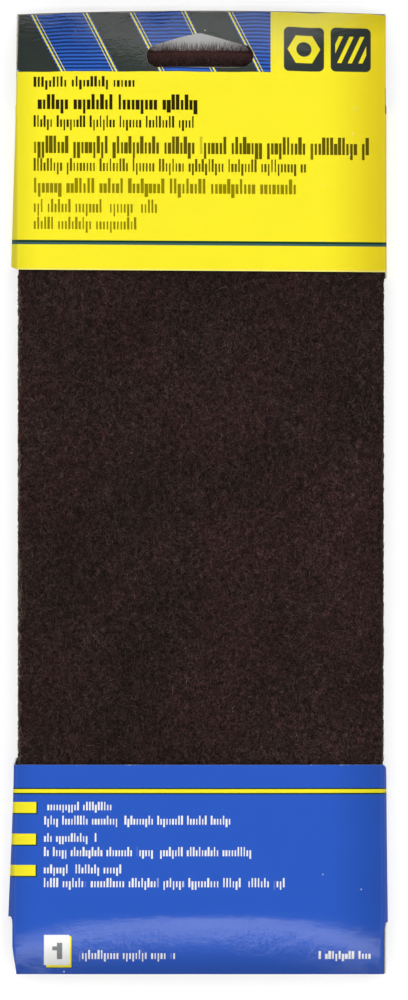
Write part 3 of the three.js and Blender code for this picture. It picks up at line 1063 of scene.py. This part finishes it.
# left, right, low, high, pitch, inked share of the pitch, colour
HEADER_ROWS = (
    (-50.9, -19.4, 122.0, 126.2, 1.15, 0.60, BLACK),
    (-50.9, 0.4, 114.5, 120.6, 1.35, 0.74, BLACK),
    (-50.9, -1.2, 109.4, 114.0, 1.0, 0.55, BLACK),
    (-50.9, 51.6, 101.0, 107.8, 1.2, 0.74, OLIVE),
    (-50.9, 32.2, 96.0, 101.0, 1.0, 0.56, OLIVE),
    (-50.9, 29.2, 89.2, 95.0, 1.25, 0.70, PALE_OLIVE),
    (-50.9, -12.8, 83.4, 88.6, 1.05, 0.55, PALE_OLIVE),
    (-50.9, -18.4, 78.4, 83.2, 1.05, 0.55, PALE_OLIVE),
)
FOOTER_ROWS = (
    (-46.9, -26.1, -97.2, -93.9, 0.9, 0.50),
    (-46.9, 10.0, -101.6, -98.1, 0.9, 0.50),
    (-46.9, -30.1, -106.8, -103.4, 0.9, 0.50),
    (-46.9, 16.2, -111.2, -107.6, 0.9, 0.50),
    (-46.9, -21.4, -116.4, -112.9, 0.95, 0.50),
    (-46.9, 26.5, -120.6, -117.0, 0.95, 0.50),
    (-36.2, -6.2, -142.4, -138.9, 0.95, 0.50),
    (36.2, 52.2, -142.3, -139.2, 1.0, 0.66),
)
# low, high, colour of the rules that run right round
HEADER_RULES = ((74.8, 75.5, RULE_STEEL), (75.45, 76.15, RULE_GREEN))
FOOTER_RULES = ((-91.65, -89.7, RULE_GREEN), (-91.2, -90.1, YELLOW))
ROUND_HALF = 70
PRINT_TILT = 0.0071
# where and how strongly the header's yellow is painted towards a darker gold on its right, as shade
SHADE_GOLD_FROM, SHADE_GOLD_FULL, SHADE_GOLD_SHARE = 34, 60, 0.5
CUT_LINE, CUT_SHARE = 0.5, 0.2
FRONT_LEFT, FOLD_MARK = -62, (55.9, 70, 115.2, 123.4)
print("rows of type on the header and the footer:", len(HEADER_ROWS), "and", len(FOOTER_ROWS))

# %% [markdown]
# #### The header
# The slant of the band's fields comes from adding a part of `v` to `u` before the sum is cut into
# equal stretches with `fract`. For the nut, `abs` folds both coordinates over its middle, so two
# distances are enough for its six sides.

# %% The band and the two tiles
BAND_RIGHT, BAND_LOW = 21.2, 127.7
BAND_SLANT, BAND_PITCH, PIN_PITCH = 0.5, 30, 1.15
DARK_HALF, DARK_SOFT = 0.2, 0.004
YELLOW_LINES, LINE_SOFT = ((0.215, 0.232), (0.255, 0.262)), 0.005
TILES, TILE_LOW, TILE_HIGH, TILE_ROUND = ((25.2, 37.4), (39.4, 51.6)), 128.2, 142.0, 1.6
NUT_HALF, NUT_HOLE = 4.3, 2.3
HEXAGON_X, HEXAGON_Y = 0.866, 0.5
RUB_SLANT, RUB_PITCH, RUB_WIDE, RUB_HIGH = 0.45, 3.2, 4.7, 4.2


def band(card):
    """Slanted fields of charcoal on blue, with pinstripes and thin yellow lines."""
    slanted = (card.u + card.v * BAND_SLANT) * (1 / BAND_PITCH)
    field = abs(slanted.fract() - 0.5)
    pins = abs((card.v * (1 / PIN_PITCH)).fract() - 0.5).below(0.25, 0.2)
    blue = card.mix(pins, DEEP_BLUE, STRIPE_BLUE)
    tone = card.mix(field.below(DARK_HALF, DARK_SOFT), blue, CHARCOAL)
    for start, end in YELLOW_LINES:
        tone = card.mix(field.within(start, end, LINE_SOFT), tone, YELLOW)
    place = card.u.within(FRONT_LEFT, BAND_RIGHT, EDGE_SOFT) * card.v.above(BAND_LOW, EDGE_SOFT)
    card.lay(place, tone)


def pictograms(card):
    """A nut for metal, and slanted strokes for rubbing down."""
    for left, right in TILES:
        card.lay(card.rounded(left, right, TILE_LOW, TILE_HIGH, TILE_ROUND), CHARCOAL)
    middle = (TILE_LOW + TILE_HIGH) / 2
    x, y = abs(card.u - sum(TILES[0]) / 2), abs(card.v - middle)
    nut = (x * HEXAGON_X + y * HEXAGON_Y).highest(y).below(NUT_HALF, EDGE_SOFT)
    hole = (x * x + y * y).root().above(NUT_HOLE, EDGE_SOFT)
    card.lay(nut * hole, YELLOW)
    x = card.u - sum(TILES[1]) / 2
    slanted = (x - (card.v - middle) * RUB_SLANT) * (1 / RUB_PITCH)
    strokes = abs(slanted.fract() - 0.5).below(0.2, 0.05)
    inside = abs(x).below(RUB_WIDE, EDGE_SOFT) * abs(card.v - middle).below(RUB_HIGH, EDGE_SOFT)
    card.lay(strokes * inside, YELLOW)


def rules(card, places):
    for low, high, tone in places:
        card.lay(card.box(-ROUND_HALF, ROUND_HALF, low, high), tone)


def header(material):
    card = Print(material, YELLOW)
    card.v = card.v + card.u * PRINT_TILT
    # painted shade: the yellow turns towards a darker gold on the right side
    card.lay(card.u.ramp(SHADE_GOLD_FROM, SHADE_GOLD_FULL) * SHADE_GOLD_SHARE, SHADE_GOLD)
    card.lay(card.v.below(HEADER_EDGE + CUT_LINE, EDGE_SOFT) * CUT_SHARE, CUT_PALE)
    band(card)
    pictograms(card)
    for seed, (*row, tone) in enumerate(HEADER_ROWS):
        card.lay(card.type_row(*row, seed), tone)
    card.lay(card.box(*FOLD_MARK), CHARCOAL)
    rules(card, HEADER_RULES)
    return card


print("the band's fields repeat every", BAND_PITCH, "mm, its pinstripes every", PIN_PITCH, "mm")


# %% [markdown]
# #### The footer and the back
# The footer has a yellow rule, three yellow tabs at its left fold, rows of pale type and a white
# tile with a plain figure. A tab's or a tile's edge is a second box under it, moved by a little.
# The back shows one row of type many times: `v` is cut into equal stretches, and each stretch
# gives the row another seed.

# %% The footer's and the back's print
TAB_LOWS, TAB_HEIGHT, TAB_RIGHT, TAB_EDGE = (-97.3, -106.9, -116.4), 3.3, -49.2, 0.4
SIZE_TILE = (
    (-45.6, -38.0, -144.4, -134.9, RULE_GREEN),
    (-45.8, -38.2, -144.2, -134.7, YELLOW),
    (-46.5, -38.8, -143.5, -134.3, WHITE),
)
FIGURE_STEM, FIGURE_FLAG = (-42.6, -41.0, -141.7, -136.7), (-44.0, -42.0, -139.0, -137.8)
BACK_PANEL, BACK_ROW = (FOOTER_EDGE + 6, HEADER_EDGE - 6), 9
BACK_TYPE = (-BACK_FOLD_END - 96, -BACK_FOLD_END - 14, 2, 6, 1.0, 0.5)
FOOTER_SEED, BACK_SEED = 40, 80


def footer(material):
    card = Print(material, BLUE)
    rules(card, FOOTER_RULES)
    for low in TAB_LOWS:
        high = low + TAB_HEIGHT
        card.lay(card.box(FRONT_LEFT, TAB_RIGHT + TAB_EDGE, low - TAB_EDGE, high), RULE_GREEN)
        card.lay(card.box(FRONT_LEFT, TAB_RIGHT, low, high), YELLOW)
    for seed, row in enumerate(FOOTER_ROWS):
        card.lay(card.type_row(*row, seed + FOOTER_SEED), WHITE)
    for *place, tone in SIZE_TILE:
        card.lay(card.box(*place), tone)
    card.lay(card.box(*FIGURE_STEM).highest(card.box(*FIGURE_FLAG)), FIGURE_GREY)
    return card


def back(material):
    """The back's print: the two fields of colour, and rows of small type on a white panel between."""
    card = Print(material, WHITE)
    low, high = BACK_PANEL
    card.lay(card.v.above(high, EDGE_SOFT), YELLOW)
    card.lay(card.v.below(low, EDGE_SOFT), BLUE)
    level = card.v
    rows = level * (1 / BACK_ROW)
    card.v = rows.fract() * BACK_ROW
    row = card.type_row(*BACK_TYPE, rows.floor() + BACK_SEED)
    card.lay(row * level.within(low + BACK_ROW, high - BACK_ROW, EDGE_SOFT), BLACK)
    card.v = level
    return card


print("the back's white panel is", round(BACK_PANEL[1] - BACK_PANEL[0], 1), "mm high")


# %% [markdown]
# #### Painted shade, wear and varnish
# The print is painted darker towards its side folds and its two ends, as shade, and it has a few
# pale scuffs and ink chips off where a blade has cut. The varnish is glossy on the flat faces and
# broken up on the folds, and its surface isn't quite flat, so mirrored light has a soft grain.

# %% The painted shade, the wear and the varnish
# start, end, and the share of the light that painted shade takes away there
SHADE_ACROSS = ((36, 60, 0.3), (-48, -60, 0.22))
SHADE_ALONG = ((-134, -148, 0.46), (126, 150, 0.42))
FOLD_BLEND, FOLD_SHADE, ROUGH_BLEND = 0.8, 0.3, 0.6
SMOOTH, FOLD_ROUGHNESS, VARNISH_GLOSS = 0.1, 0.55, 0.2
CLOUDS, SPECKS, SCUFF_CLOUDS, CHIP_GRAIN, CHIP_CLOUDS = 60, 210, 45, 900, 130
PEEL_FINE, PEEL_WIDE = 1500, 260
SCUFF_SIZE, SCUFF_PLACES, SCUFF_SHARE = 0.055, 0.62, 0.5
CHIP_FROM, CHIP_DEPTH, CHIP_NOISE = 0.3, 1, 0.6
WORN_PALE = ink(226, 226, 220)
PEEL_HEIGHT = 0.00004


def painted_shade(card):
    """How much painted shade darkens the print: the highest share of all the zones that reach a point."""
    zones = [card.u.ramp(start, end) * lost for start, end, lost in SHADE_ACROSS]
    zones += [card.v.ramp(start, end) * lost for start, end, lost in SHADE_ALONG]
    zones.append(abs(card.u).ramp(FRONT_HALF - FOLD_BLEND, FRONT_HALF + FOLD_BLEND) * FOLD_SHADE)
    worst = zones[0]
    for zone in zones[1:]:
        worst = worst.highest(zone)
    return worst


def varnished(card):
    spot = card.node("ShaderNodeTexCoord", output=3)
    cloud = card.noise(spot, CLOUDS, 3)
    speck = card.node("ShaderNodeTexVoronoi", {}, {"Vector": spot, "Scale": SPECKS})
    scuffs = speck.below(SCUFF_SIZE, 0.03) * card.noise(spot, SCUFF_CLOUDS, 1).above(SCUFF_PLACES, 0.02)
    chips = (card.v + card.noise(spot, CHIP_GRAIN, 2) * CHIP_NOISE).above(FOOTER_EDGE + CHIP_FROM, 0.1)
    chips = chips * card.v.below(FOOTER_EDGE + CHIP_DEPTH, 0.1)
    chips = chips * card.noise(spot, CHIP_CLOUDS, 2).above(0.6, 0.03)
    # painted shade near the side folds and the ends, times a faint random cloud
    tone = card.scaled(card.colour, (1 - painted_shade(card)) * ((cloud - 0.5) * 0.05 + 1))
    tone = card.mix((scuffs * SCUFF_SHARE).highest(chips), tone, WORN_PALE)
    peel = card.noise(spot, PEEL_FINE, 2) * 0.5 + card.noise(spot, PEEL_WIDE, 2)
    rough = abs(card.u).ramp(FRONT_HALF - ROUGH_BLEND, FRONT_HALF + ROUGH_BLEND) * FOLD_ROUGHNESS + SMOOTH
    looks = {"Base Color": tone, "Roughness": rough, "Specular IOR Level": VARNISH_GLOSS}
    card.surface(peel, PEEL_HEIGHT, looks)


for index, face in ((PRINTED, header), (FOOTER, footer), (BACK, back)):
    varnished(face(sleeve_finishes[index]))
    print(FINISH_NAMES[index], len(sleeve_finishes[index].node_tree.nodes), "nodes")

# %% [markdown]
# ### Bare board and cut edges
# The inside of the card is plain recycled board: a warm grey with darker fibres in it. Where a
# blade has cut it, the pale core shows, a little rougher. The board is painted darker under the
# web and for a little way past the web's top end, as the web's shade.


# %% The board's plain face and its core
# how far past the web's top end the board's painted shade reaches, and where it is full
END_SHADE_REACH, END_SHADE_FULL = 3, -0.6
BOARD_GRAIN = 0.00005
FINE_FIBRES, WIDE_FIBRES, FLECKS = 2600, 300, 1400


def plain_board(material, light, dark, roughness, end_shade_share):
    """Bare board, painted darker as shade under the web and a little way past the web's top end."""
    board = Tree(material)
    _, v, _ = board.parts(board.node("ShaderNodeUVMap", {"uv_map": "blank"}))
    # painted shade: darker under the web, fading out past the web's top end
    end_shade = v.ramp(PAD_TOP_END + END_SHADE_REACH, PAD_TOP_END + END_SHADE_FULL) * end_shade_share
    spot = board.node("ShaderNodeTexCoord", output=3)
    stretched = board.node("ShaderNodeMapping", {}, {"Vector": spot, "Scale": (1, 0.35, 1)})
    fibres = board.noise(stretched, FINE_FIBRES, 3) * 0.6 + board.noise(spot, WIDE_FIBRES, 3) * 0.4
    tone = board.mix(fibres.above(0.5, 0.35), dark, light)
    flecks = board.noise(stretched, FLECKS, 1).above(0.72, 0.03)
    tone = board.scaled(board.mix(flecks * 0.5, tone, dark), 1 - end_shade)
    looks = {"Base Color": tone, "Roughness": roughness, "Specular IOR Level": 0.3}
    board.surface(fibres, BOARD_GRAIN, looks)


# the last number is how much painted shade darkens each face under the web
plain_board(sleeve_finishes[BOARD], ink(160, 161, 158), ink(138, 138, 134), 0.75, 0.25)
plain_board(sleeve_finishes[CORE], ink(236, 232, 218), ink(200, 194, 178), 0.85, 0.06)
for index in (BOARD, CORE):
    print(FINISH_NAMES[index], len(sleeve_finishes[index].node_tree.nodes), "nodes")

# %% [markdown]
# ### The web
# The slab is what lies between the strands: its pits are painted nearly black, as shade between
# the fibres, and its high spots are maroon, with wide soft patches that lean to olive. The strands
# carry the light. Each one's `shade` picks its tone, and some of those along the left edge are rusty
# and tan. Both are painted lighter and redder towards the top end, as light on that end.

# %% The finishes of the slab and the strands
PATCH_MAROON, PATCH_OLIVE = ink(59, 34, 32), ink(52, 38, 33)
# the nearly black colour painted into the slab's pits as shade between the fibres
PIT_SHADE = ink(14, 9, 9)
STRAND_DARK, STRAND_PALE, STRAND_GLINT = ink(28, 17, 16), ink(122, 92, 86), ink(150, 134, 128)
# RUST and TAN tint the left edge's strands; the third colour is painted light, laid towards the web's top
# end
RUST, TAN, END_LIGHT = ink(112, 62, 50), ink(150, 128, 110), ink(116, 74, 71)
LEFT_EDGE = -PAD_WIDTH / 2 + CENTRE.x + FOOTER_SHIFT / 2
LEFT_BAND, LEFT_BAND_SOFT = 1.6, 1.2
# where the painted light on the web's top end starts and is full, in mm from that end
END_LIGHT_FROM, END_LIGHT_FULL = -4.4, 0.2
CLOUD_DEPTH, CLOUD_LEVEL = 0.82, 0.755
PIT_FINE, PIT_WIDE, PATCHES, WEB_CLOUDS, RUST_PATCHES, STRAND_SPECKS = 2600, 700, 55, 34, 60, 5000
TANGLES, TANGLE_WIDTHS = (1050, 1700), (0.04, 0.045)
# the first two are how strongly the painted light on the web's top end shows on the slab and the strands
SLAB_END_LIGHT, STRAND_END_LIGHT, STRAND_PATCHES, GLINT_ABOVE = 0.45, 0.7, 0.35, 0.9985
SLAB_RELIEF, STRAND_GRAIN = 0.0003, 0.00002


def patch_mask(tree, spot):
    return tree.noise(spot, PATCHES, 3).above(0.5, 0.25)


def patches(tree, spot):
    return tree.mix(patch_mask(tree, spot), PATCH_OLIVE, PATCH_MAROON)


def clouded_and_end_lit(tree, spot, tone, amount):
    """Wide soft clouds of lighter and darker tone, and a painted light, redder, at the web's top end."""
    _, y, _ = tree.parts(spot)
    end = PAD_TOP_END + CENTRE.y
    # painted light: lighter and redder towards the web's top end
    tone = tree.mix(y.ramp((end + END_LIGHT_FROM) * MM, (end + END_LIGHT_FULL) * MM) * amount, tone, END_LIGHT)
    return tree.scaled(tone, (tree.noise(spot, WEB_CLOUDS, 2) - 0.5) * CLOUD_DEPTH + CLOUD_LEVEL)


def tangle(tree, spot, scale, width):
    """Thin curled lines: the places where a noise crosses its middle value."""
    return abs(tree.noise(spot, scale, 1, Distortion=0.6) - 0.5).ramp(width, width * 0.3)


def web_surface(material):
    tree = Tree(material)
    spot = tree.node("ShaderNodeTexCoord", output=3)
    drawn = tree.node("ShaderNodeMapping", {}, {"Vector": spot, "Scale": (1, 0.7, 1)})
    fine = tree.noise(spot, PIT_FINE, 3)
    wide = tree.noise(spot, PIT_WIDE, 2)
    high = (fine * 0.6 + wide * 0.4).above(0.5, 0.22)
    coarse_lines, thin_lines = (tangle(tree, drawn, *kind) for kind in zip(TANGLES, TANGLE_WIDTHS))
    lines = coarse_lines.highest(thin_lines)
    # painted shade: the pits are nearly black, the high spots take the patches' colour
    tone = tree.mix(high, PIT_SHADE, patches(tree, spot))
    tone = clouded_and_end_lit(tree, spot, tree.mix(lines * wide * 0.7, tone, STRAND_PALE), SLAB_END_LIGHT)
    relief = high * 0.6 + lines * 0.4
    tree.surface(relief, SLAB_RELIEF, {"Base Color": tone, "Roughness": 0.8, "Specular IOR Level": 0.1})


def strand_surface(material):
    tree = Tree(material)
    spot = tree.node("ShaderNodeTexCoord", output=3)
    shade = tree.node("ShaderNodeAttribute", {"attribute_name": "shade"}, output=2)
    tone = tree.mix(shade**4, STRAND_DARK, STRAND_PALE)
    tone = tree.mix(patch_mask(tree, spot) * STRAND_PATCHES, tone, patches(tree, spot))
    tone = tree.mix(shade.above(GLINT_ABOVE, 0.001), tone, STRAND_GLINT)
    tone = clouded_and_end_lit(tree, spot, tone, STRAND_END_LIGHT)
    x, _, _ = tree.parts(spot)
    # strands near the left edge are tinted rusty and tan
    edge = x.below((LEFT_EDGE + LEFT_BAND) * MM, LEFT_BAND_SOFT * MM) * shade.above(0.45, 0.3)
    rust = tree.noise(spot, RUST_PATCHES, 2).above(0.5, 0.1)
    tone = tree.mix(edge * 0.8, tone, tree.mix(rust, TAN, RUST))
    grain = tree.noise(spot, STRAND_SPECKS, 2)
    tree.surface(grain, STRAND_GRAIN, {"Base Color": tone, "Roughness": 0.6, "Specular IOR Level": 0.2})


web_surface(web_finish)
strand_surface(strand_finish)
for finish in (web_finish, strand_finish):
    print(finish.name, len(finish.node_tree.nodes), "nodes")

# %% [markdown]
# ## The table, the sky and the camera
# The photo looks straight down, like a scanner. Its white ground is the table's own colour, and a
# glow that only the camera and mirrored rays see lifts it to paper white and leaves the shadow. The
# glow is less under the sleeve, so that the hang slot looks down into shade.

# %% The table
TABLE_SIZE, TABLE_LIFT = 80, 0.54
TABLE_TONE = (0.58, 0.58, 0.58, 1)
COVERED_X, COVERED_Y, COVERED_LIFT, COVERED_SOFT = 54, 144, 0.22, 0.002

bm = bmesh.new()
bmesh.ops.create_grid(bm, x_segments=1, y_segments=1, size=TABLE_SIZE / 2)
table_finish = bpy.data.materials.new("table")
table = as_object(bm, "table", [table_finish])
tree = Tree(table_finish)
diffuse = tree.node("ShaderNodeBsdfDiffuse", {}, {"Color": TABLE_TONE})
seen = tree.node("ShaderNodeLightPath")
rays = seen.socket.node.outputs
seen = seen.highest(Value(tree, rays["Is Glossy Ray"])).highest(Value(tree, rays["Is Transmission Ray"]))
x, y, _ = tree.parts(tree.node("ShaderNodeTexCoord", output=3))
bare = abs(x).above(COVERED_X * MM, COVERED_SOFT).highest(abs(y).above(COVERED_Y * MM, COVERED_SOFT))
lift = seen * (bare * (TABLE_LIFT - COVERED_LIFT) + COVERED_LIFT)
glow = tree.node("ShaderNodeEmission", {}, {"Color": (1, 1, 1, 1), "Strength": lift})
both = tree.node("ShaderNodeAddShader", {}, {0: diffuse, 1: glow})
tree.node("ShaderNodeOutputMaterial", {}, {"Surface": both})
print("the table is", TABLE_SIZE, "m wide and glows by", TABLE_LIFT)

# %% [markdown]
# The light is a soft sky that depends only on direction, so it is even over the whole table. It is
# dark straight above, so that the flat varnish doesn't mirror it as a haze. Two narrow bright strips
# near the top are what the bent tongues mirror back to the camera. A tongue curls differently near
# its side folds, so there its mirror looks at another height of the sky. The first strip's lower
# edge is raised at the sides for that, and its upper edge is lowered a little on the left.

# %% The sky
HORIZON, MIDDLE, ZENITH = 1.0, 1.02, 0.1
MIDDLE_FROM, MIDDLE_FROM_SOFT, MIDDLE_TO, MIDDLE_TO_SOFT = 0.36, 0.2, 0.88, 0.14
# low edge, high edge, half width, strength, share of the rise at the sides
STRIPS = ((-0.362, -0.22, 0.46, 8.1, 1), (0.235, 0.33, 0.16, 5.0, 0))
STRIP_SOFT, STRIP_END_SOFT, STRIP_FLOOR = 0.02, 0.1, 0.5
SIDE_FROM, SIDE_FULL, SIDE_RISE, SIDE_SLOPE = 0.02, 0.042, 0.06, 0.1
LEFT_FROM, LEFT_TO, LEFT_SOFT, LEFT_DROP = 0.012, 0.08, 0.03, 0.02


def studio_sky(world):
    tree = Tree(world)
    x, y, z = tree.parts(tree.node("ShaderNodeTexCoord"))
    light = HORIZON + z.above(MIDDLE_FROM, MIDDLE_FROM_SOFT) * (MIDDLE - HORIZON)
    light = light - z.above(MIDDLE_TO, MIDDLE_TO_SOFT) * (MIDDLE - ZENITH)
    rise = abs(x).ramp(SIDE_FROM, SIDE_FULL) * SIDE_RISE + (abs(x) - SIDE_FULL).highest(0) * SIDE_SLOPE
    lowered = y + (x * -1).within(LEFT_FROM, LEFT_TO, LEFT_SOFT) * LEFT_DROP
    for low, high, half_width, strength, share_of_rise in STRIPS:
        strip = (y - rise * share_of_rise).above(low, STRIP_SOFT) * lowered.below(high, STRIP_SOFT)
        strip = strip * abs(x).below(half_width, STRIP_END_SOFT) * z.above(STRIP_FLOOR, STRIP_END_SOFT)
        light = light + strip * strength
    sky = tree.node("ShaderNodeBackground", {}, {"Color": (1, 1, 1, 1), "Strength": light})
    tree.node("ShaderNodeOutputWorld", {}, {"Surface": sky})


world = bpy.data.worlds.new("studio")
bpy.context.scene.world = world
studio_sky(world)
print("the sky has", len(world.node_tree.nodes), "nodes")

# %% [markdown]
# The camera stands far off with a long lens, because the photo shows almost no perspective. Its
# distance follows from the photo's scale, and its place from the pixel that shows the packed
# model's origin.

# %% The camera
LENS, SENSOR = 500, 36
CLIP_START, CLIP_END = 0.1, 100
PIXELS_PER_MM, PHOTO_WIDTH, PHOTO_HEIGHT = 3.297, 408, 1000
PHOTO_ZERO = Vector((198.05, 492.2))

camera = bpy.data.cameras.new("camera")
camera.lens, camera.sensor_width = LENS, SENSOR
distance = PHOTO_HEIGHT / PIXELS_PER_MM / 2 / (SENSOR / 2 / LENS)
camera.clip_start, camera.clip_end = CLIP_START, CLIP_END
eye = bpy.data.objects.new("camera", camera)
bpy.context.collection.objects.link(eye)
eye.location = (
    (PHOTO_WIDTH / 2 - PHOTO_ZERO.x) / PIXELS_PER_MM * MM,
    (PHOTO_ZERO.y - PHOTO_HEIGHT / 2) / PIXELS_PER_MM * MM,
    (SLEEVE_HEIGHT + distance) * MM,
)
bpy.context.scene.camera = eye
bpy.context.scene.view_settings.view_transform = "Standard"
print("the camera stands", round(distance * MM, 2), "m above the card")
